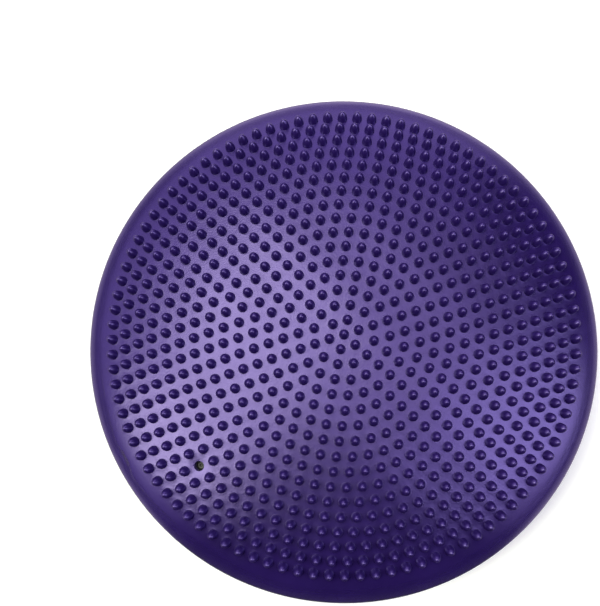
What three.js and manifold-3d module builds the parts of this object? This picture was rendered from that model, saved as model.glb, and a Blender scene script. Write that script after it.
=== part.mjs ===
// Inflatable balance pad: a round air cushion of moulded PVC, covered on top with soft nubs.
// Two domed skins and a rim band are welded into one air chamber, and a needle valve sits in
// a collar under the upper skin. Millimetres, +Z up, origin at the middle of the resting patch.
import * as THREE from 'three';
import { mergeVertices } from 'three/addons/utils/BufferGeometryUtils.js';
import Module from 'manifold-3d';

const wasm = await Module();
wasm.setup();

// ---- Driving dimensions ----
const PAD_RADIUS = 165; // widest circle of the inflated pad
const CROWN_RISE = 38; // from the widest circle up to the crown, and down to the underside
const WALL = 4; // thickness of the moulded PVC
const REST_RADIUS = 60; // the patch of the underside that the floor presses flat
const GAP = 0.3; // between pieces that touch

const NUB_RINGS = 16;
const NUB_PITCH = 9.5; // from ring to ring at the crown, measured along the dome
const PITCH_LOSS = 0.018; // share by which the last ring lies closer to the crown than that gives
const NUB_RADIUS = 3.3; // at the root
const NUB_HEIGHT = 7;
const NUBS_MORE = 6; // each ring holds this many nubs more than the last one
const TURN_SHARE = 0.618; // of its own nub spacing, by which each ring is turned on from the last

const BUMP_RADII = [92, 109, 126, 143]; // rings of low bumps on the underside
const BUMP_PITCH = 17;
const BUMP_RADIUS = 5.5;
const BUMP_HEIGHT = 2.5;

const UPPER_SEAM_RADIUS = 156.6; // edge of the upper skin
const LOWER_SEAM_RADIUS = 155; // edge of the lower skin
const BEAD_WIDTH = 1.8; // weld bead that closes each seam
const BEAD_RECESS = 1; // how far a bead lies below the skins beside it

const VALVE_RING = 13; // the valve takes one nub's place in this ring
const VALVE_BEARING_DEG = 225;
const PORT_RADIUS = 3; // hole through the upper skin

const ROUND_SIDES = 64; // facets round the pad
const VALVE_SIDES = 24;
const SHOULDER_RADIUS = 152; // just outside the last dots, where a skin's round edge begins
const INNER_ROWS = [150, 138, 118, 92, 60, 30]; // radii of the rows inside a skin

// ---- Derived sizes ----
const INNER_RADIUS = PAD_RADIUS - WALL;
const INNER_RISE = CROWN_RISE - WALL;
const domeHeight = (r, radius, rise) => rise * Math.sqrt(Math.max(0, 1 - (r / radius) ** 2));
const outerHeight = r => domeHeight(r, PAD_RADIUS, CROWN_RISE);
const innerHeight = r => domeHeight(r, INNER_RADIUS, INNER_RISE);
const outerSlope = r => Math.atan((CROWN_RISE * r) / PAD_RADIUS ** 2 / Math.sqrt(1 - (r / PAD_RADIUS) ** 2));
const MIDDLE_Z = outerHeight(REST_RADIUS); // height of the widest circle above the floor
const UPPER_BEAD_RADIUS = UPPER_SEAM_RADIUS + GAP;
const LOWER_BEAD_RADIUS = LOWER_SEAM_RADIUS + GAP;
const UPPER_RIM_RADIUS = UPPER_BEAD_RADIUS + BEAD_WIDTH + GAP;
const LOWER_RIM_RADIUS = LOWER_BEAD_RADIUS + BEAD_WIDTH + GAP;

// Distance from the axis of a point that lies so far along the dome from its crown.
function radiusAtArc(arc) {
  const step = 0.05;
  let radius = 0;
  for (let gone = 0; gone < arc; gone += step) radius += step * Math.cos(outerSlope(radius));
  return radius;
}

// ---- Materials ----
const material = (color, roughness) => new THREE.MeshStandardMaterial({ color, roughness, metalness: 0 });
const pvc = () => material(0x4b3391, 0.4);
const weld = () => material(0x3a2578, 0.45);
const blackRubber = () => material(0x16151a, 0.7);
const greyRubber = () => material(0x6f7a6a, 0.6);

// ---- Closed dotted skins ----
// A skin is built from rows of points at growing radius. Each row is a list of
// { index, angle } in order of angle, and neighbouring rows are joined by a strip of triangles.
class SkinMesh {
  constructor(facesUp) {
    this.points = [];
    this.triangles = [];
    this.facesUp = facesUp;
  }

  point(radius, angle, z) {
    this.points.push(radius * Math.cos(angle), radius * Math.sin(angle), z);
    return { index: this.points.length / 3 - 1, angle };
  }

  triangle(a, b, c) {
    this.triangles.push(...(this.facesUp ? [a.index, b.index, c.index] : [a.index, c.index, b.index]));
  }

  circle(radius, z, count) {
    return Array.from({ length: count }, (_, i) => this.point(radius, (2 * Math.PI * i) / count, z));
  }

  // Triangles between an inner and an outer row, in step with the angle.
  strip(inner, outer) {
    const turn = 2 * Math.PI;
    const shift = Math.round((inner[0].angle - outer[0].angle) / turn);
    const at = (row, i, extra) => row[i % row.length].angle + turn * (Math.floor(i / row.length) + extra);
    let i = 0;
    let j = 0;
    while (i < inner.length || j < outer.length) {
      const nextInner = at(inner, i + 1, 0) + at(inner, i, 0);
      const nextOuter = at(outer, j + 1, shift) + at(outer, j, shift);
      const innerPoint = inner[i % inner.length];
      const outerPoint = outer[j % outer.length];
      if (j >= outer.length || (i < inner.length && nextInner < nextOuter)) {
        i += 1;
        this.triangle(innerPoint, outerPoint, inner[i % inner.length]);
      } else {
        j += 1;
        this.triangle(innerPoint, outerPoint, outer[j % outer.length]);
      }
    }
  }

  // A fan of triangles from one middle point to a row round it.
  fan(middle, row) {
    row.forEach((point, i) => this.triangle(middle, point, row[(i + 1) % row.length]));
  }

  geometry() {
    const geometry = new THREE.BufferGeometry();
    geometry.setAttribute('position', new THREE.Float32BufferAttribute(this.points, 3));
    geometry.setIndex(this.triangles);
    return geometry;
  }
}

// One ring of pointed dots, each a { radius, angle }, that stand along the surface normal. Returns
// its two edges, which share the ground between neighbouring dots. side is +1 on the upper dome.
function dotRing(skin, { dots, dotRadius, dotHeight, side }) {
  const ground = (r, angle) => skin.point(r, angle, MIDDLE_Z + side * outerHeight(r));
  const inner = [];
  const outer = [];
  for (const { radius, angle } of dots) {
    const slope = outerSlope(radius);
    const reach = dotRadius * Math.cos(slope);
    const spread = dotRadius / radius;
    const corners = [
      ground(radius, angle - spread),
      ground(radius + reach, angle),
      ground(radius, angle + spread),
      ground(radius - reach, angle),
    ];
    const tipZ = MIDDLE_Z + side * (outerHeight(radius) + dotHeight * Math.cos(slope));
    skin.fan(skin.point(radius + dotHeight * Math.sin(slope), angle, tipZ), corners);
    inner.push(corners[0], corners[3], corners[2]);
    outer.push(corners[0], corners[1], corners[2]);
  }
  return { inner, outer };
}

const evenAngles = (count, turn) => Array.from({ length: count }, (_, i) => turn + (2 * Math.PI * i) / count);

const valveBearing = THREE.MathUtils.degToRad(VALVE_BEARING_DEG);

// The nubs of one ring. The rings are turned so that one nub of the valve's ring lies at its bearing.
function nubRing(ring) {
  const share = (ring / NUB_RINGS) ** 2;
  const radius = radiusAtArc(ring * NUB_PITCH * (1 - PITCH_LOSS * share));
  const count = NUBS_MORE * ring;
  const spacing = (2 * Math.PI) / count;
  const turn = valveBearing + TURN_SHARE * (ring - VALVE_RING) * spacing;
  const first = turn - spacing * Math.round(turn / spacing); // the nub nearest to the X axis
  return evenAngles(count, first).map(angle => ({ radius, angle }));
}

// The valve takes the place of the nub nearest to its bearing.
const apart = (a, b) => Math.abs(Math.atan2(Math.sin(a - b), Math.cos(a - b)));
const VALVE_DOT = nubRing(VALVE_RING).reduce(
  (a, b) => (apart(b.angle, valveBearing) < apart(a.angle, valveBearing) ? b : a));

// Closes a skin: the outer dome on to its cut edge, then the inner dome back to the axis.
function closeSkin(skin, lastRow, seamRadius, side) {
  const circleAt = (r, height) => skin.circle(r, MIDDLE_Z + side * height(r), ROUND_SIDES);
  const rows = [
    circleAt((seamRadius + SHOULDER_RADIUS) / 2, outerHeight),
    circleAt(seamRadius, outerHeight),
    circleAt(seamRadius, innerHeight),
    ...INNER_ROWS.map(r => circleAt(r, innerHeight)),
  ];
  let row = lastRow;
  for (const next of rows) {
    skin.strip(row, next);
    row = next;
  }
  skin.fan(skin.point(0, 0, MIDDLE_Z + side * INNER_RISE), [...row].reverse());
}

function upperSkinGeometry() {
  const skin = new SkinMesh(true);
  const middle = evenAngles(NUBS_MORE, 0).map(a => skin.point(NUB_RADIUS, a, MIDDLE_Z + outerHeight(NUB_RADIUS)));
  skin.fan(skin.point(0, 0, MIDDLE_Z + CROWN_RISE + NUB_HEIGHT), middle);
  let row = middle;
  for (let ring = 1; ring <= NUB_RINGS; ring += 1) {
    const dots = nubRing(ring).filter(dot => dot.angle !== VALVE_DOT.angle || ring !== VALVE_RING);
    const edges = dotRing(skin, { dots, dotRadius: NUB_RADIUS, dotHeight: NUB_HEIGHT, side: 1 });
    skin.strip(row, edges.inner);
    row = edges.outer;
  }
  closeSkin(skin, row, UPPER_SEAM_RADIUS, 1);
  return skin.geometry();
}

function lowerSkinGeometry() {
  const skin = new SkinMesh(false);
  const patch = skin.circle(REST_RADIUS, 0, ROUND_SIDES);
  skin.fan(skin.point(0, 0, 0), patch);
  let row = patch;
  BUMP_RADII.forEach((radius, i) => {
    const count = Math.round((2 * Math.PI * radius) / BUMP_PITCH);
    const dots = evenAngles(count, (i % 2) * (Math.PI / count)).map(angle => ({ radius, angle }));
    const edges = dotRing(skin, { dots, dotRadius: BUMP_RADIUS, dotHeight: BUMP_HEIGHT, side: -1 });
    skin.strip(row, edges.inner);
    row = edges.outer;
  });
  closeSkin(skin, row, LOWER_SEAM_RADIUS, -1);
  return skin.geometry();
}

// ---- Cutting ----
function toSolid(geometry) {
  const bare = geometry.clone();
  bare.deleteAttribute('normal');
  bare.deleteAttribute('uv');
  const merged = mergeVertices(bare, 1e-4);
  return new wasm.Manifold(new wasm.Mesh({
    numProp: 3,
    vertProperties: merged.attributes.position.array,
    triVerts: new Uint32Array(merged.index.array),
  }));
}

function toGeometry(solid) {
  const mesh = solid.getMesh();
  const geometry = new THREE.BufferGeometry();
  geometry.setAttribute('position', new THREE.BufferAttribute(new Float32Array(mesh.vertProperties), 3));
  geometry.setIndex(new THREE.BufferAttribute(new Uint32Array(mesh.triVerts), 1));
  geometry.computeVertexNormals();
  return geometry;
}

// ---- Turned pieces ----
// A closed outline of [radius, height] pairs, anticlockwise, spun about Z.
function turned(outline, sides) {
  const points = outline.map(([r, z]) => new THREE.Vector2(r, z));
  const geometry = new THREE.LatheGeometry(points, sides);
  return geometry.rotateX(Math.PI / 2);
}

function rimBandGeometry() {
  // equal steps of the ellipse's own angle keep the rim round
  const ellipse = (radius, rise, from, to, steps) => Array.from({ length: steps + 1 }, (_, i) => {
    const t = from + ((to - from) * i) / steps;
    return [radius * Math.cos(t), MIDDLE_Z + rise * Math.sin(t)];
  });
  const outerTop = Math.acos(UPPER_RIM_RADIUS / PAD_RADIUS);
  const outerBottom = -Math.acos(LOWER_RIM_RADIUS / PAD_RADIUS);
  const innerBottom = -Math.acos(LOWER_RIM_RADIUS / INNER_RADIUS);
  return turned([
    ...ellipse(PAD_RADIUS, CROWN_RISE, outerBottom, outerTop, 8),
    ...ellipse(INNER_RADIUS, INNER_RISE, 0, innerBottom, 4),
    [LOWER_RIM_RADIUS, MIDDLE_Z - outerHeight(LOWER_RIM_RADIUS)],
  ], ROUND_SIDES);
}

function beadGeometry(radius, side) {
  const bottom = MIDDLE_Z + side * innerHeight(radius);
  const top = r => MIDDLE_Z + side * (outerHeight(r) - BEAD_RECESS);
  const outline = [
    [radius, bottom],
    [radius + BEAD_WIDTH, bottom],
    [radius + BEAD_WIDTH, top(radius + BEAD_WIDTH)],
    [radius, top(radius)],
    [radius, bottom],
  ];
  return turned(side > 0 ? outline : outline.reverse(), ROUND_SIDES);
}

// ---- Valve, in its own frame: Z = 0 on the outside of the skin, +Z out of the pad ----
const SKIN_DEPTH = 3.8; // where the inside of the upper skin lies
const BOSS_TOP = -(SKIN_DEPTH + GAP);
const BOSS_BOTTOM = BOSS_TOP - 6;
const BORE_RADIUS = 6; // the body's shoulder, inside the boss
const FLANGE_RADIUS = 9;
const FLANGE_TOP = BOSS_BOTTOM - GAP;
const FLANGE_BOTTOM = FLANGE_TOP - 2.4;
const STEM_BOTTOM = FLANGE_BOTTOM - 11;
const SOCKET_RADIUS = 2.8; // recess in the body's top for the head of the core
const SOCKET_FLOOR = BOSS_TOP - GAP - 2.2;
const CHANNEL_RADIUS = 1.9;
const BARREL_RADIUS = CHANNEL_RADIUS - GAP;

function valveBossGeometry() {
  const outer = 14;
  const inner = BORE_RADIUS + GAP;
  const chamfer = 2;
  return turned([
    [inner, BOSS_BOTTOM],
    [outer - chamfer, BOSS_BOTTOM],
    [outer, BOSS_BOTTOM + chamfer],
    [outer, BOSS_TOP],
    [inner, BOSS_TOP],
    [inner, BOSS_BOTTOM],
  ], VALVE_SIDES);
}

function valveBodyGeometry() {
  const stemTip = 3.4;
  const stemRoot = 4.2;
  return turned([
    [CHANNEL_RADIUS, STEM_BOTTOM],
    [stemTip, STEM_BOTTOM],
    [stemRoot, FLANGE_BOTTOM],
    [FLANGE_RADIUS, FLANGE_BOTTOM],
    [FLANGE_RADIUS, FLANGE_TOP],
    [BORE_RADIUS, FLANGE_TOP],
    [BORE_RADIUS, BOSS_TOP - GAP],
    [SOCKET_RADIUS, BOSS_TOP - GAP],
    [SOCKET_RADIUS, SOCKET_FLOOR],
    [CHANNEL_RADIUS, SOCKET_FLOOR],
    [CHANNEL_RADIUS, STEM_BOTTOM],
  ], VALVE_SIDES);
}

function valveCoreGeometry() {
  const head = SOCKET_RADIUS - GAP;
  const headBottom = SOCKET_FLOOR + GAP;
  const headTop = headBottom + 1.2;
  const needleHole = 0.7; // a funnel that guides the pump's needle
  const bulbTop = STEM_BOTTOM - GAP;
  return turned([
    [0, bulbTop - 4],
    [BARREL_RADIUS, bulbTop - 4],
    [head, bulbTop - 1.5],
    [head, bulbTop],
    [BARREL_RADIUS, bulbTop],
    [BARREL_RADIUS, headBottom],
    [head, headBottom],
    [head, headTop],
    [needleHole, headTop],
    [0, headTop - 1],
  ], VALVE_SIDES);
}

// ---- Assembly ----
function named(name, geometry, finish) {
  const mesh = new THREE.Mesh(geometry, finish);
  mesh.name = name;
  return mesh;
}

function valvePlace() {
  const group = new THREE.Group();
  const { radius, angle } = VALVE_DOT;
  group.rotation.set(0, outerSlope(radius), angle, 'ZYX');
  group.position.set(radius * Math.cos(angle), radius * Math.sin(angle), MIDDLE_Z + outerHeight(radius));
  group.updateMatrixWorld(true);
  return group;
}

const valve = valvePlace();
valve.add(
  named('valve_boss', valveBossGeometry(), pvc()),
  named('valve_body', valveBodyGeometry(), blackRubber()),
  named('valve_core', valveCoreGeometry(), greyRubber()),
);

const port = new THREE.CylinderGeometry(PORT_RADIUS, PORT_RADIUS, 20, VALVE_SIDES).rotateX(Math.PI / 2);
const upperSkin = toSolid(upperSkinGeometry()).subtract(toSolid(port.applyMatrix4(valve.matrixWorld)));

const pad = new THREE.Group();
pad.add(
  named('upper_skin', toGeometry(upperSkin), pvc()),
  named('lower_skin', lowerSkinGeometry(), pvc()),
  named('rim_band', rimBandGeometry(), pvc()),
  named('upper_weld_bead', beadGeometry(UPPER_BEAD_RADIUS, 1), weld()),
  named('lower_weld_bead', beadGeometry(LOWER_BEAD_RADIUS, -1), weld()),
  valve,
);

export default pad;
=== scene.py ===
"""Looks of the inflatable balance pad: fine moulded skins with round nubs, a smooth rim roll,
a needle valve in its port, satin violet PVC and rubber, a plain floor and soft studio light."""

import math

import bpy
import numpy as np
from mathutils import Euler, Matrix, Vector
from mathutils.geometry import delaunay_2d_cdt


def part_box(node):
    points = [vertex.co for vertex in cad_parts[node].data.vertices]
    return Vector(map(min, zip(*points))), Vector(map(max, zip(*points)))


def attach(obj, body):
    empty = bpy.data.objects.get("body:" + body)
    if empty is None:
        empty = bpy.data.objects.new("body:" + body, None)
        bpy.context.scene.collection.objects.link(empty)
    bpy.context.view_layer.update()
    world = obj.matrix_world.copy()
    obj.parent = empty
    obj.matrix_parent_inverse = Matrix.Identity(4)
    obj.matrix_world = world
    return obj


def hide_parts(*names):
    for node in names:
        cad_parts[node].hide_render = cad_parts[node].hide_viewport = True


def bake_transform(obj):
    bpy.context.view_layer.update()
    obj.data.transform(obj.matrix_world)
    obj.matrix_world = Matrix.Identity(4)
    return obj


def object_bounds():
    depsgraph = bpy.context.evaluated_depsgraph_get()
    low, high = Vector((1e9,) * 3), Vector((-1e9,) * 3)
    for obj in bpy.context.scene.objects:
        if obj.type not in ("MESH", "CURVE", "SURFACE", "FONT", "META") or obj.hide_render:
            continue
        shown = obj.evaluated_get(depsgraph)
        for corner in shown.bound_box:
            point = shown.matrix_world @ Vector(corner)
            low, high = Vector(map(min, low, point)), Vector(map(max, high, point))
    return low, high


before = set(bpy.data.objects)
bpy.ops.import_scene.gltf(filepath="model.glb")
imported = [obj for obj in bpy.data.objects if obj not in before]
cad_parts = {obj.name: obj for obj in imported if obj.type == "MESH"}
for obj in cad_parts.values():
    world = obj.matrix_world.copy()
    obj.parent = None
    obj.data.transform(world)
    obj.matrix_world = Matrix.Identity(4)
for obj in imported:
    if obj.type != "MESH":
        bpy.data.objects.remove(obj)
cad_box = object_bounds()

# ---- Driving dimensions, in millimetres ----
M = 0.001  # one millimetre in the scene's metres
CROWN_RISE = 38.0  # from the widest circle up to the crown, and down to the underside
WALL = 4.0
REST_RADIUS = 60.0
NUB_RINGS = 16
NUB_PITCH = 9.5  # from ring to ring at the crown, along the dome
PITCH_LOSS = 0.018  # share by which the last ring lies closer to the crown than that gives
NUBS_MORE = 6  # each ring holds this many nubs more than the last one
TURN_SHARE = 0.618  # of its own nub spacing, by which each ring is turned on from the last
NUB_HEIGHT = 7.0
NUB_SIDES = 14
VALVE_RING = 13
VALVE_BEARING_DEG = 225.0
PORT_RADIUS = 3.0
BUMP_RADII = [92.0, 109.0, 126.0, 143.0]
BUMP_PITCH = 17.0
BUMP_RADIUS = 5.5
BUMP_HEIGHT = 2.5
UPPER_SEAM = 156.6  # edge of the upper skin
LOWER_SEAM = 155.0  # edge of the lower skin
GAP = 0.3
BEAD_WIDTH = 1.8
JOIN = 0.02  # hairline between pieces that are welded together
SIDES = 256  # points round the pad

# ---- Irregularities of the soft skin, in millimetres ----
WAVE_HEIGHT = 0.07
CALM_WIDTH = 60.0  # the waves die out over this distance from the rim
# How the seams wander: (size, count, phase) of waves, then (size, bearing, reach in degrees) of kinks
SEAM_WAVES = [(0.25, 3, 0.4), (0.15, 7, 2.0), (0.05, 31, 0.0), (0.04, 53, 1.0)]
SEAM_KINKS = [(3.2, 214.0, 12.0), (-3.0, 211.8, 2.5)]
BEAD_RIPPLES = [(0.05, 61, 0.0), (0.04, 97, 2.0)]  # waves, too, in the height of the fused strip
CREASE_DEPTH = 0.05  # of the groove that shows all round
CREASE_REACH = 1.6
DENT_DEPTH = 0.2  # of the groove where the weld is least even
DENT_REACH = (0.9, 2.6)  # inwards and outwards
DENT_BEARING_DEG = 212.0
DENT_WIDTH_DEG = 11.0
SWELL_HEIGHT = 0.04
SWELL_PLACE = 2.6  # outside the weld
SWELL_REACH = 1.5

# ---- Sizes taken from the frame ----
PAD_RADIUS = (cad_box[1][0] - cad_box[0][0]) / 2 / M
MIDDLE_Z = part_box("upper_skin")[1].z / M - NUB_HEIGHT - CROWN_RISE  # height of the widest circle
INNER_RADIUS = PAD_RADIUS - WALL
INNER_RISE = CROWN_RISE - WALL
TURN = 2 * math.pi
SEAMS = {1: UPPER_SEAM, -1: LOWER_SEAM}


# ---- The inflated shape ----
def outer_height(r):
    return CROWN_RISE * np.sqrt(np.maximum(0, 1 - (np.asarray(r) / PAD_RADIUS) ** 2))


def inner_height(r):
    return INNER_RISE * np.sqrt(np.maximum(0, 1 - (np.asarray(r) / INNER_RADIUS) ** 2))


def outer_slope(r):
    return np.arctan(CROWN_RISE * r / PAD_RADIUS**2 / np.sqrt(1 - (r / PAD_RADIUS) ** 2))


def radius_at_arc(arc):
    """Distance from the axis of a point that lies so far along the dome from its crown."""
    step, radius = 0.05, 0.0
    for _ in range(round(arc / step)):
        radius += step * math.cos(outer_slope(radius))
    return radius


def unevenness(x, y):
    """Slow waves in the soft skin, which die out towards the rim."""
    calm = np.clip((PAD_RADIUS - np.hypot(x, y)) / CALM_WIDTH, 0, 1)
    waves = np.sin(x / 17 + 0.6) * np.sin(y / 21 + 1.1) + 0.6 * np.sin((x + y) / 12)
    return WAVE_HEIGHT * calm * waves


def hump(offset, reach):
    """1 where offset is 0, falling smoothly to nearly nothing at twice the reach."""
    return np.exp(-((offset / reach) ** 2))


def ripple(angle, waves):
    return sum(size * np.sin(count * angle + phase) for size, count, phase in waves)


def seam_shift(angle):
    """How far a seam wanders outwards from its circle. The weld is least even at one place."""
    bearing = np.degrees(angle) % 360
    kinks = sum(size * hump(bearing - place, reach) for size, place, reach in SEAM_KINKS)
    return ripple(angle, SEAM_WAVES) + kinks


def relief(r, angle, side):
    """Height above the plain dome near a seam: a soft groove over the weld, a low swell outside."""
    off = r - (SEAMS[side] + GAP + BEAD_WIDTH / 2 + seam_shift(angle))
    dent = hump(np.degrees(angle) % 360 - DENT_BEARING_DEG, DENT_WIDTH_DEG)
    groove = CREASE_DEPTH * hump(off, CREASE_REACH)
    groove += DENT_DEPTH * dent * hump(off, np.where(off < 0, *DENT_REACH))
    return SWELL_HEIGHT * hump(off - SWELL_PLACE, SWELL_REACH) - groove


def surface(r, angle, side):
    """Height of the pad's outside, above (side 1) or below (side -1) its widest circle."""
    return MIDDLE_Z + side * (outer_height(r) + relief(r, angle, side))


# ---- Mesh building ----
SAME_POINT = 1e-6  # flat points closer than this would merge
SHARP_ANGLE_DEG = 52  # edges sharper than this are not shaded smoothly


def even_angles(count, turn=0.0):
    return turn + TURN * np.arange(count) / count


def polar(radius, angles):
    return np.stack([radius * np.cos(angles), radius * np.sin(angles)], 1)


class SkinMesh:
    """Points and faces of one closed piece, in millimetres."""

    def __init__(self):
        self.points = []
        self.faces = []
        self.raised = []  # per point: 0 on the ground, 1 on a dot

    def add(self, points, raised=0.0):
        """Adds points (count, 3) and returns their numbers."""
        first = len(self.points)
        self.points.extend(map(tuple, points))
        self.raised.extend([raised] * len(points))
        return np.arange(first, len(self.points))

    def face(self, corners, up=True):
        self.faces.append(tuple(int(c) for c in (corners if up else reversed(corners))))

    def bridge(self, row, following, up=True):
        """Quads between two closed rows of the same length."""
        count = len(row)
        for i in range(count):
            j = (i + 1) % count
            self.face([row[i], row[j], following[j], following[i]], up)

    def cap(self, row, point, up=True):
        tip = self.add([point], 1.0)[0]
        for i in range(len(row)):
            self.face([row[i], row[(i + 1) % len(row)], tip], up)

    def ground(self, loops, free, edge, height, up):
        """Triangulates the ground inside edge, with a hole at each loop. All are flat points;
        height(x, y) gives their z. Returns the numbers of the edge's and of each loop's points."""
        rows = [edge, *loops]
        flat = np.concatenate([*rows, *free]) if free else np.concatenate(rows)
        starts = np.cumsum([0] + [len(row) for row in rows])
        links, owner = [], np.full(len(flat), -1)
        for k, row in enumerate(rows):
            own = np.arange(starts[k], starts[k] + len(row))
            links.extend(zip(own.tolist(), np.roll(own, -1).tolist()))
            owner[own] = k
        found = delaunay_2d_cdt([Vector(p) for p in flat.tolist()], links, [], 0, SAME_POINT)
        assert len(found[0]) == len(flat), "two points of the ground coincide"
        z = height(flat[:, 0], flat[:, 1])
        numbers = self.add(np.column_stack([flat, z]))
        for corners in found[2]:
            owners = {int(owner[c]) for c in corners}
            if len(owners) == 1 and next(iter(owners)) > 0:
                continue  # inside a loop
            self.face([numbers[c] for c in corners], up)
        return [numbers[starts[k] : starts[k] + len(row)] for k, row in enumerate(rows)]

    def to_object(self, name, finish):
        mesh = bpy.data.meshes.new(name)
        mesh.from_pydata([(x * M, y * M, z * M) for x, y, z in self.points], [], self.faces)
        raised = mesh.attributes.new("raised", "FLOAT", "POINT")
        raised.data.foreach_set("value", self.raised)
        mesh.validate()
        mesh.polygons.foreach_set("use_smooth", [True] * len(mesh.polygons))
        piece = bpy.data.objects.new(name, mesh)
        mesh.set_sharp_from_angle(angle=math.radians(SHARP_ANGLE_DEG))
        mesh.materials.append(finish)
        bpy.context.scene.collection.objects.link(piece)
        return piece


def lathe(name, outline, finish, sides, place=None):
    """Spins a closed outline about Z. It is a list of (radius, z), each a number or a function."""
    mesh = SkinMesh()
    angles = even_angles(sides)
    rows = []
    for corner in outline:
        r, z = (v(angles) if callable(v) else np.full(sides, float(v)) for v in corner)
        rows.append(mesh.add(np.column_stack([polar(r, angles), z])))
    for row, following in zip(rows, rows[1:] + rows[:1]):
        mesh.bridge(row, following)
    if place is not None:
        mesh.points = [tuple(place @ Vector(p)) for p in mesh.points]
    return mesh.to_object(name, finish)


# ---- Raised dots: nubs above, bumps below ----
# (radius, height) rows of a nub: a flat collar, then a steep foot that rounds off to the tip
NUB_PROFILE = [(3.7, 0.0), (3.3, 0.0), (3.15, 1.5), (2.85, 3.1), (2.35, 4.7)]
NUB_PROFILE += [(1.6, 6.0), (0.78, 6.76)]
# (radius, height) rows of a low bump on the underside
BUMP_PROFILE = [
    (BUMP_RADIUS * (1 - t), BUMP_HEIGHT * (1 - math.cos(math.pi * t)) / 2)
    for t in (0.0, 0.2, 0.42, 0.65, 0.85)
]


def dot_frames(radius, angles, side):
    """Middle, outward tangent, sideways tangent and normal of each dot."""
    angles = np.asarray(angles, float)
    radius = np.broadcast_to(np.asarray(radius, float), angles.shape)[:, None]
    slope = outer_slope(radius)
    out = np.stack([np.cos(angles), np.sin(angles), np.zeros(len(angles))], 1)
    across = np.stack([-np.sin(angles), np.cos(angles), np.zeros(len(angles))], 1)
    up = np.array([0.0, 0.0, float(side)])
    tangent = out * np.cos(slope) - up * np.sin(slope)
    normal = out * np.sin(slope) + up * np.cos(slope)
    return np.stack([out * radius, tangent, across, normal], 1)


def dot_rows(dots, profile, sides):
    """Points (dot, row, side, 3) of every dot, before the ground's height is added."""
    angles = even_angles(sides)
    rows = []
    for r, h in profile:
        ring = (
            dots[:, None, 1] * (r * np.cos(angles))[None, :, None]
            + dots[:, None, 2] * (r * np.sin(angles))[None, :, None]
            + dots[:, None, 3] * h
            + dots[:, None, 0]
        )
        rows.append(ring)
    return np.stack(rows, 1)


def add_dots(mesh, loops, dots, profile, tip_height, base_z, up):
    """Grows each dot out of its loop in the ground."""
    rows = dot_rows(dots, profile, NUB_SIDES)
    rows[..., 2] += base_z[:, None, None]
    for loop, dot, dot_points, z in zip(loops, dots, rows, base_z):
        row = loop
        for points, (_, h) in zip(dot_points[1:], profile[1:]):
            following = mesh.add(points, float(h > 0))
            mesh.bridge(row, following, up)
            row = following
        mesh.cap(row, dot[0] + dot[3] * tip_height + np.array([0, 0, z]), up)


def nub_ring(ring):
    """Frames of one ring of nubs. One nub of the valve's ring lies at the valve's bearing."""
    share = (ring / NUB_RINGS) ** 2
    radius = radius_at_arc(ring * NUB_PITCH * (1 - PITCH_LOSS * share))
    count = NUBS_MORE * ring
    turn = math.radians(VALVE_BEARING_DEG) + TURN_SHARE * (ring - VALVE_RING) * TURN / count
    return dot_frames(radius, even_angles(count, turn), 1)


def nubs_and_valve():
    """Frames of all nubs, and of the valve, which takes one nub's place."""
    rings, valve = [dot_frames(0.0, [0.0], 1)], None
    for ring in range(1, NUB_RINGS + 1):
        frames = nub_ring(ring)
        if ring == VALVE_RING:
            valve, frames = frames[0], frames[1:]
        rings.append(frames)
    return np.concatenate(rings), valve


# ---- Pieces ----
nubs, valve = nubs_and_valve()
VALVE_Z = MIDDLE_Z + float(outer_height(np.hypot(valve[0][0], valve[0][1])))
PORT_SIDES = 32
VALVE_DIMPLE = 0.5  # how far the skin sinks round the port
VALVE_DIMPLE_RADIUS = 5.0
# (distance from the seam, share of the seam's wander) of the ground's rows next to it
EDGE_ROWS = [(0.3, 1), (0.6, 1), (0.95, 1), (1.35, 1), (1.85, 0.95), (2.5, 0.9), (3.3, 0.75)]
EDGE_ROWS += [(4.4, 0.5), (5.8, 0.2)]
# (radius, points) of the rows inside the walls and on the lower skin's smooth middle
INSIDE_ROWS = [(150, 128), (138, 96), (112, 64), (80, 48), (40, 32)]
MIDDLE_ROWS = [(30, 48), (50, 72), (REST_RADIUS, 96), (65, 96), (74, 96)]
PORT_ROWS = [4.2, 5.2]  # radii of the ground's rows round the port


def upper_ground(x, y):
    off = np.hypot(x - valve[0][0], y - valve[0][1])
    dimple = VALVE_DIMPLE * hump(off, VALVE_DIMPLE_RADIUS)
    return surface(np.hypot(x, y), np.arctan2(y, x), 1) + unevenness(x, y) - dimple


def lower_ground(x, y):
    return np.maximum(surface(np.hypot(x, y), np.arctan2(y, x), -1), 0)


def seam_circle(seam, inset, share=1.0):
    """Flat points on a circle that follows the seam's wander by a share."""
    angles = even_angles(SIDES)
    return polar(seam - inset + share * seam_shift(angles), angles)


def circles(rows):
    return [polar(radius, even_angles(count)) for radius, count in rows]


def close_skin(mesh, outer_edge, seam, side, inner_loops, up):
    """Closes a skin with its cut edge and the inside of its wall. Returns the inner loops."""
    inner = lambda x, y: MIDDLE_Z + side * inner_height(np.hypot(x, y))
    edge = seam_circle(seam, 0.0)
    found = mesh.ground(inner_loops, circles(INSIDE_ROWS), edge, inner, not up)
    mesh.bridge(found[0], outer_edge, up)
    return found[1:]


# (radius beyond the port's, depth) rows from the skin's outside down into the port
PORT_EDGE = [(0.25, 0.0), (0.1, 0.08), (0.02, 0.3), (0.0, 0.8), (0.0, 3.0)]


def port_circle(radius, depth=0.0):
    """Points round the valve's axis, so far below the ground's height there."""
    return dot_rows(valve[None], [(radius, -depth)], PORT_SIDES)[0, 0]


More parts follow.
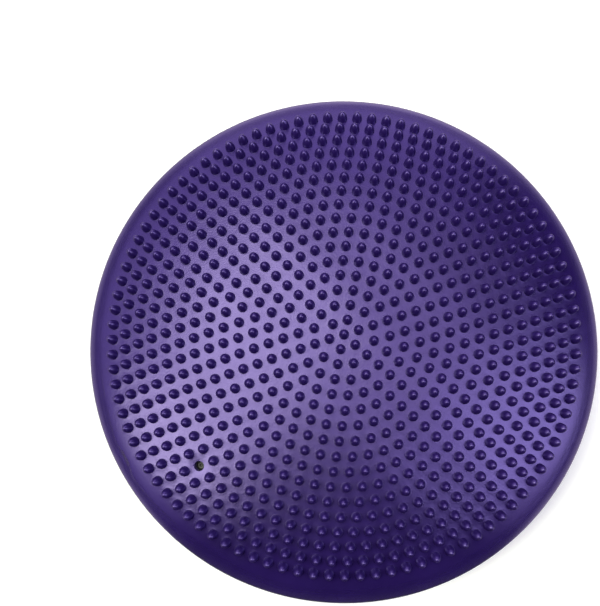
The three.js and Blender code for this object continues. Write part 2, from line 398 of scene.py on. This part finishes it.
def upper_skin(finish):
    mesh = SkinMesh()
    foot = dot_rows(nubs, NUB_PROFILE[:1], NUB_SIDES)[:, 0, :, :2]
    port = port_circle(PORT_RADIUS + PORT_EDGE[0][0])[:, :2]
    free = [port_circle(radius)[:, :2] for radius in PORT_ROWS]
    free += [seam_circle(UPPER_SEAM, *row) for row in EDGE_ROWS]
    loops = mesh.ground([port, *foot], free, seam_circle(UPPER_SEAM, 0.0), upper_ground, True)
    base_z = upper_ground(nubs[:, 0, 0], nubs[:, 0, 1])
    add_dots(mesh, loops[2:], nubs, NUB_PROFILE, NUB_HEIGHT, base_z, True)
    inner_port = port_circle(PORT_RADIUS, WALL)[:, :2]
    inner_loop = close_skin(mesh, loops[0], UPPER_SEAM, 1, [inner_port], True)[0]
    row = loops[1]
    for beyond, depth in PORT_EDGE[1:]:
        points = port_circle(PORT_RADIUS + beyond, depth)
        following = mesh.add(points + np.array([0, 0, VALVE_Z]))
        mesh.bridge(row, following)
        row = following
    mesh.bridge(row, inner_loop)
    return mesh.to_object("moulded_upper_skin", finish)


def lower_skin(finish):
    mesh = SkinMesh()
    dots = []
    for i, radius in enumerate(BUMP_RADII):
        count = round(TURN * radius / BUMP_PITCH)
        dots.append(dot_frames(radius, even_angles(count, (i % 2) * math.pi / count), -1))
    dots = np.concatenate(dots)
    foot = dot_rows(dots, BUMP_PROFILE[:1], NUB_SIDES)[:, 0, :, :2]
    free = circles(MIDDLE_ROWS) + [seam_circle(LOWER_SEAM, *row) for row in EDGE_ROWS[:-1]]
    loops = mesh.ground(list(foot), free, seam_circle(LOWER_SEAM, 0.0), lower_ground, False)
    base_z = lower_ground(dots[:, 0, 0], dots[:, 0, 1])
    add_dots(mesh, loops[1:], dots, BUMP_PROFILE, BUMP_HEIGHT, base_z, False)
    close_skin(mesh, loops[0], LOWER_SEAM, -1, [], False)
    return mesh.to_object("moulded_lower_skin", finish)


def rim_band(finish):
    """The rim roll between the two weld beads."""
    round_off = PAD_RADIUS - 1.0  # from here the rows go round the widest circle
    flank_rows, round_rows, crowding = 16, 12, 1.3  # the rows crowd towards the seam
    lip = 3.0  # depth of the wall next to the upper bead

    def edge(angle, side):
        return SEAMS[side] + BEAD_WIDTH + 2 * GAP + JOIN + seam_shift(angle)

    def flank(share, side):
        radius = lambda a: edge(a, side) + (round_off - edge(a, side)) * share
        return radius, lambda a: surface(radius(a), a, side)

    shares = [(i / flank_rows) ** crowding for i in range(flank_rows + 1)]
    outline = [flank(share, -1) for share in shares]
    steepest = math.acos(round_off / PAD_RADIUS)
    for i in range(1, round_rows):
        t = steepest * (2 * i / round_rows - 1)
        outline.append((PAD_RADIUS * math.cos(t), MIDDLE_Z + CROWN_RISE * math.sin(t)))
    outline += [flank(share, 1) for share in reversed(shares)]
    outline += [
        (lambda a: edge(a, 1), lambda a: surface(edge(a, 1), a, 1) - lip),
        (lambda a: np.maximum(INNER_RADIUS, edge(a, 1)), MIDDLE_Z),
        (lambda a: edge(a, -1), lambda a: MIDDLE_Z - inner_height(edge(a, -1))),
    ]
    return lathe("rim_roll", outline, finish, SIDES)


def weld_bead(name, side, finish):
    """The fused strip along a seam, from the skin's edge to the rim roll."""
    width = BEAD_WIDTH + 2 * GAP - JOIN
    steps = 12

    def near(a):
        return SEAMS[side] + JOIN + seam_shift(a)

    def far(a):
        return near(a) + width

    def bottom(a):
        return MIDDLE_Z + side * inner_height(far(a))

    def row(t):
        radius = lambda a: near(a) + width * t
        swell = side * math.sin(math.pi * t) ** 2
        return radius, lambda a: surface(radius(a), a, side) + swell * ripple(a, BEAD_RIPPLES)

    outline = [row(i / steps) for i in range(steps + 1)] + [(far, bottom), (near, bottom)]
    if side > 0:
        outline.reverse()
    return lathe(name, outline, finish, SIDES)


# ---- Valve, in its own frame: z = 0 on the outside of the skin ----
SOCKET_TOP = -4.4
HEAD_BOTTOM = -6.3
STEM_BOTTOM = -23.8
VALVE_SIDES = 48


def valve_place():
    """From the valve's own frame to the pad's, in millimetres."""
    place = Matrix([[*valve[row]] for row in (1, 2, 3)]).transposed().to_4x4()
    place.translation = (valve[0][0], valve[0][1], VALVE_Z)
    return place


def valve_body(finish):
    """The rubber body, with a socket for the head of the core and a tapered stem."""
    outline = [
        (1.9, STEM_BOTTOM), (3.2, STEM_BOTTOM), (3.4, STEM_BOTTOM + 0.3), (3.75, -18), (4.1, -13.4),
        (4.6, -12.8), (8.7, -12.8), (9.0, -12.5), (9.0, -10.7), (8.7, -10.4), (6.0, -10.4),
        (6.0, SOCKET_TOP - 0.25), (5.75, SOCKET_TOP), (3.05, SOCKET_TOP), (2.85, SOCKET_TOP - 0.15),
        (2.8, SOCKET_TOP - 0.5), (2.8, HEAD_BOTTOM - 0.3), (1.9, HEAD_BOTTOM - 0.3),
    ]
    return lathe("needle_valve_body", outline, finish, VALVE_SIDES, valve_place())


def valve_core(finish):
    """The plug: a domed head with a funnel for the pump's needle, a barrel and a bulb."""
    top = HEAD_BOTTOM + 1.2
    outline = [
        (0.02, -28.1), (1.2, -28.05), (1.7, -27.7), (2.5, -25.7), (2.5, -24.3), (2.3, -24.1),
        (1.6, -24.1), (1.6, HEAD_BOTTOM), (2.35, HEAD_BOTTOM), (2.5, HEAD_BOTTOM + 0.2),
        (2.5, top - 0.35), (2.35, top - 0.12), (2.0, top), (1.3, top + 0.05), (0.95, top - 0.05),
        (0.72, top - 0.25), (0.5, top - 0.85), (0.02, top - 0.95),
    ]
    return lathe("needle_valve_core", outline, finish, VALVE_SIDES, valve_place())


# ---- Materials ----
def new_material(name):
    finish = bpy.data.materials.new(name)
    finish.use_nodes = True
    tree = finish.node_tree
    return finish, tree, tree.nodes["Principled BSDF"]


def noise(tree, scale, detail, roughness=0.5):
    """A noise texture in the object's own metres: scale is about its spots per metre."""
    place = tree.nodes.new("ShaderNodeTexCoord")
    texture = tree.nodes.new("ShaderNodeTexNoise")
    texture.inputs["Scale"].default_value = scale
    texture.inputs["Detail"].default_value = detail
    texture.inputs["Roughness"].default_value = roughness
    tree.links.new(place.outputs["Object"], texture.inputs["Vector"])
    return texture.outputs["Fac"]


def ramp(tree, value, low, high, colours):
    """Maps value from low..high on to two colours or two numbers."""
    ranged = tree.nodes.new("ShaderNodeMapRange")
    ranged.inputs["From Min"].default_value = low
    ranged.inputs["From Max"].default_value = high
    tree.links.new(value, ranged.inputs["Value"])
    if not isinstance(colours[0], tuple):
        ranged.inputs["To Min"].default_value, ranged.inputs["To Max"].default_value = colours
        return ranged.outputs["Result"]
    mix = tree.nodes.new("ShaderNodeMix")
    mix.data_type = "RGBA"
    mix.inputs["A"].default_value = (*colours[0], 1)
    mix.inputs["B"].default_value = (*colours[1], 1)
    tree.links.new(ranged.outputs["Result"], mix.inputs["Factor"])
    return mix.outputs["Result"]


def add_bump(tree, shader, layers):
    """Chains bumps from (height, strength, distance in metres)."""
    normal = None
    for height, strength, distance in layers:
        bump = tree.nodes.new("ShaderNodeBump")
        bump.inputs["Strength"].default_value = strength
        bump.inputs["Distance"].default_value = distance
        tree.links.new(height, bump.inputs["Height"])
        if normal is not None:
            tree.links.new(normal, bump.inputs["Normal"])
        normal = bump.outputs["Normal"]
    tree.links.new(normal, shader.inputs["Normal"])


def violet_pvc(name, dark, light):
    finish, tree, shader = new_material(name)
    cloud = noise(tree, scale=28, detail=2)
    grain = noise(tree, scale=1100, detail=3, roughness=0.6)
    patch = noise(tree, scale=160, detail=3)
    raised = tree.nodes.new("ShaderNodeAttribute")
    raised.attribute_name = "raised"
    on_dots = tree.nodes.new("ShaderNodeMath")
    on_dots.operation = "MULTIPLY_ADD"
    tree.links.new(raised.outputs["Fac"], on_dots.inputs[0])
    on_dots.inputs[1].default_value = 0.07  # the dots are a little duller
    tree.links.new(ramp(tree, patch, 0.3, 0.7, (0.2, 0.26)), on_dots.inputs[2])
    tree.links.new(on_dots.outputs[0], shader.inputs["Roughness"])
    tree.links.new(ramp(tree, cloud, 0.3, 0.7, (dark, light)), shader.inputs["Base Color"])
    pebble = noise(tree, scale=430, detail=2)
    layers = [(grain, 0.8, 0.12 * M), (pebble, 0.3, 0.1 * M), (patch, 0.15, 0.2 * M)]
    add_bump(tree, shader, layers)
    shader.inputs["IOR"].default_value = 1.6
    shader.inputs["Specular IOR Level"].default_value = 1.0
    shader.inputs["Specular Tint"].default_value = (0.5, 0.38, 1.0, 1)
    return finish


def rubber(name, dark, light, roughness):
    finish, tree, shader = new_material(name)
    speck = noise(tree, scale=900, detail=4, roughness=0.65)
    rough = ramp(tree, speck, 0.3, 0.7, (roughness, roughness + 0.12))
    tree.links.new(ramp(tree, speck, 0.35, 0.65, (dark, light)), shader.inputs["Base Color"])
    tree.links.new(rough, shader.inputs["Roughness"])
    add_bump(tree, shader, [(speck, 0.4, 0.1 * M)])
    return finish


pvc = violet_pvc("satin_violet_pvc", (0.0125, 0.0048, 0.062), (0.0152, 0.006, 0.074))
fused_pvc = violet_pvc("fused_violet_pvc", (0.0118, 0.0046, 0.059), (0.0144, 0.0057, 0.07))
black_rubber = rubber("black_rubber", (0.006, 0.006, 0.007), (0.02, 0.02, 0.022), 0.6)
grey_rubber = rubber("grey_green_rubber", (0.012, 0.012, 0.013), (0.095, 0.09, 0.098), 0.5)

# ---- The pad's pieces in place of the frame's parts; the valve's pieces on the top face's body ----
for piece, node, slot in (
    (upper_skin(pvc), "upper_skin", "pvc_skin"),
    (lower_skin(pvc), "lower_skin", "pvc_skin"),
    (rim_band(pvc), "rim_band", "pvc_skin"),
    (weld_bead("upper_crease_bead", 1, fused_pvc), "upper_weld_bead", "weld_bead"),
    (weld_bead("lower_crease_bead", -1, fused_pvc), "lower_weld_bead", "weld_bead"),
):
    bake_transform(piece)
    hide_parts(node)

for piece, node, slot in (
    (valve_body(black_rubber), "valve_body", "black_rubber"),
    (valve_core(grey_rubber), "valve_core", "grey_rubber"),
):
    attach(piece, "top_face")
    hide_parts(node)

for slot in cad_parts["valve_boss"].material_slots:
    slot.material = pvc


# ---- Stage ----
def add_floor():
    size = 30.0
    mesh = bpy.data.meshes.new("floor")
    corners = [(-size, -size, 0), (size, -size, 0), (size, size, 0), (-size, size, 0)]
    mesh.from_pydata(corners, [], [(0, 1, 2, 3)])
    floor = bpy.data.objects.new("floor", mesh)
    finish, tree, shader = new_material("pale_floor")
    shader.inputs["Base Color"].default_value = (0.85, 0.85, 0.85, 1)
    shader.inputs["Roughness"].default_value = 0.9
    shader.inputs["Specular IOR Level"].default_value = 0.1
    shader.inputs["Emission Color"].default_value = (1, 1, 1, 1)
    shader.inputs["Emission Strength"].default_value = 0.25
    mesh.materials.append(finish)
    bpy.context.scene.collection.objects.link(floor)
    floor.visible_glossy = False  # the pad's edge mirrors the dim room instead


class Room:
    """A studio seen from the pad: each light is a soft-edged patch of the sky above it.
    A patch's place and size are the x and y of the directions that it fills."""

    def __init__(self):
        self.world = bpy.data.worlds.new("studio")
        self.world.use_nodes = True
        self.tree = self.world.node_tree
        self.tree.nodes.clear()
        self.direction = self.node("ShaderNodeTexCoord").outputs["Generated"]
        split = self.node("ShaderNodeSeparateXYZ")
        self.fill(split.inputs[0], self.direction)
        self.parts = split.outputs

    def node(self, kind, **settings):
        node = self.tree.nodes.new(kind)
        for name, value in settings.items():
            setattr(node, name, value)
        return node

    def fill(self, socket, value):
        """Links an output to a socket, or sets the socket to a plain value."""
        if isinstance(value, bpy.types.NodeSocket):
            self.tree.links.new(value, socket)
        else:
            socket.default_value = value

    def math(self, operation, *values):
        node = self.node("ShaderNodeMath", operation=operation)
        for socket, value in zip(node.inputs, values):
            self.fill(socket, value)
        return node.outputs[0]

    def smooth(self, value, start, end):
        """1 up to start, falling smoothly to 0 at end."""
        node = self.node("ShaderNodeMapRange", interpolation_type="SMOOTHSTEP")
        for name, number in (("From Min", start), ("From Max", end), ("To Min", 1), ("To Max", 0)):
            node.inputs[name].default_value = number
        self.fill(node.inputs["Value"], value)
        return node.outputs["Result"]

    def patch(self, centre, half_size, turn, softness):
        """A soft ellipse, turned by so many degrees: 1 inside, 0 outside."""
        place = self.node("ShaderNodeMapping", vector_type="TEXTURE")
        place.inputs["Location"].default_value = (*centre, 0)
        place.inputs["Rotation"].default_value = (0, 0, math.radians(turn))
        place.inputs["Scale"].default_value = (*half_size, 1)
        self.fill(place.inputs["Vector"], self.direction)
        flat = self.node("ShaderNodeVectorMath", operation="MULTIPLY")
        flat.inputs[1].default_value = (1, 1, 0)
        self.fill(flat.inputs[0], place.outputs["Vector"])
        length = self.node("ShaderNodeVectorMath", operation="LENGTH")
        self.fill(length.inputs[0], flat.outputs["Vector"])
        return self.smooth(length.outputs["Value"], 1 - softness, 1 + softness)

    def wedge(self, apex, spread, softness):
        """1 outside a wedge that opens from its apex towards -Y, 0 inside it."""
        aside = self.math("ABSOLUTE", self.math("SUBTRACT", self.parts["X"], apex[0]))
        below = self.math("SUBTRACT", apex[1], self.parts["Y"])
        inside = self.math("SUBTRACT", below, self.math("MULTIPLY", aside, spread))
        return self.smooth(inside, -softness, softness)

    def above(self):
        """1 well above the horizon, 0 from there down."""
        return self.math("SUBTRACT", 1.0, self.smooth(self.parts["Z"], 0.0, 0.3))

    def below(self):
        """1 well below the horizon, 0 a little above it."""
        return self.smooth(self.parts["Z"], -0.35, 0.1)

    def glow(self, mask, strength, colour):
        """The mask as light: a background shader."""
        background = self.node("ShaderNodeBackground")
        background.inputs["Color"].default_value = (*colour, 1)
        self.fill(background.inputs["Strength"], self.math("MULTIPLY", mask, strength))
        return background.outputs["Background"]

    def add(self, shaders):
        total = shaders[0]
        for shader in shaders[1:]:
            node = self.node("ShaderNodeAddShader")
            self.fill(node.inputs[0], total)
            self.fill(node.inputs[1], shader)
            total = node.outputs["Shader"]
        return total


# (strength, colour, centre, half size, turn in degrees, softness) of each light
LIGHTS = [
    (1.5, (0.97, 0.97, 0.84), (-0.14, 0.08), (0.48, 0.42), 0, 0.6),
    (6.0, (0.9, 1.0, 0.62), (-0.26, 0.18), (0.2, 0.24), 0, 0.55),
    (8.6, (0.91, 1.0, 0.62), (-0.56, -0.22), (0.25, 0.17), 15, 0.4),
    (3.1, (0.93, 0.97, 1.0), (0.62, -0.1), (0.33, 0.26), -5, 0.4),
]


def add_studio():
    room = Room()
    wedge = room.wedge((0.05, -0.04), 0.75, 0.06)  # the side towards -Y is dark
    lit_side = room.math("MULTIPLY", room.above(), wedge)
    ground = room.math("MULTIPLY", room.below(), room.math("MULTIPLY_ADD", wedge, 0.85, 0.15))

    far_side = room.patch((0.72, 0.46), (0.46, 0.42), 20, 0.5)  # an unlit corner
    walls = room.math("MULTIPLY", lit_side, room.math("SUBTRACT", 1.0, far_side))
    horizon = room.patch((-0.1, 0.98), (0.85, 0.24), 0, 0.5)
    glows = [
        room.glow(walls, 1.12, (0.82, 0.72, 1.0)),
        room.glow(ground, 0.75, (0.95, 0.82, 1.0)),
        room.glow(horizon, 0.55, (0.85, 0.72, 1.0)),
    ]
    for strength, colour, *place in LIGHTS:
        mask = room.math("MULTIPLY", lit_side, room.patch(*place))
        glows.append(room.glow(mask, strength, colour))
    lit = room.add(glows)
    seen = room.node("ShaderNodeBackground")
    path = room.node("ShaderNodeLightPath")
    mix = room.node("ShaderNodeMixShader")
    room.fill(mix.inputs["Fac"], path.outputs["Is Camera Ray"])
    room.fill(mix.inputs[1], lit)
    room.fill(mix.inputs[2], seen.outputs["Background"])
    seen.inputs["Color"].default_value = (1, 1, 1, 1)
    output = room.node("ShaderNodeOutputWorld")
    room.fill(output.inputs["Surface"], mix.outputs["Shader"])
    bpy.context.scene.world = room.world


def add_camera():
    data = bpy.data.cameras.new("camera")
    data.sensor_fit = "HORIZONTAL"
    data.sensor_width = 36
    data.lens = 78.5
    camera = bpy.data.objects.new("camera", data)
    camera.location = (-0.0069, -0.1297, 0.8787)
    camera.rotation_euler = Euler([math.radians(a) for a in (10.49, 0.93, 3.28)], "XYZ")
    bpy.context.scene.collection.objects.link(camera)
    bpy.context.scene.camera = camera


add_floor()
add_studio()
add_camera()
bpy.context.scene.view_settings.view_transform = "Standard"
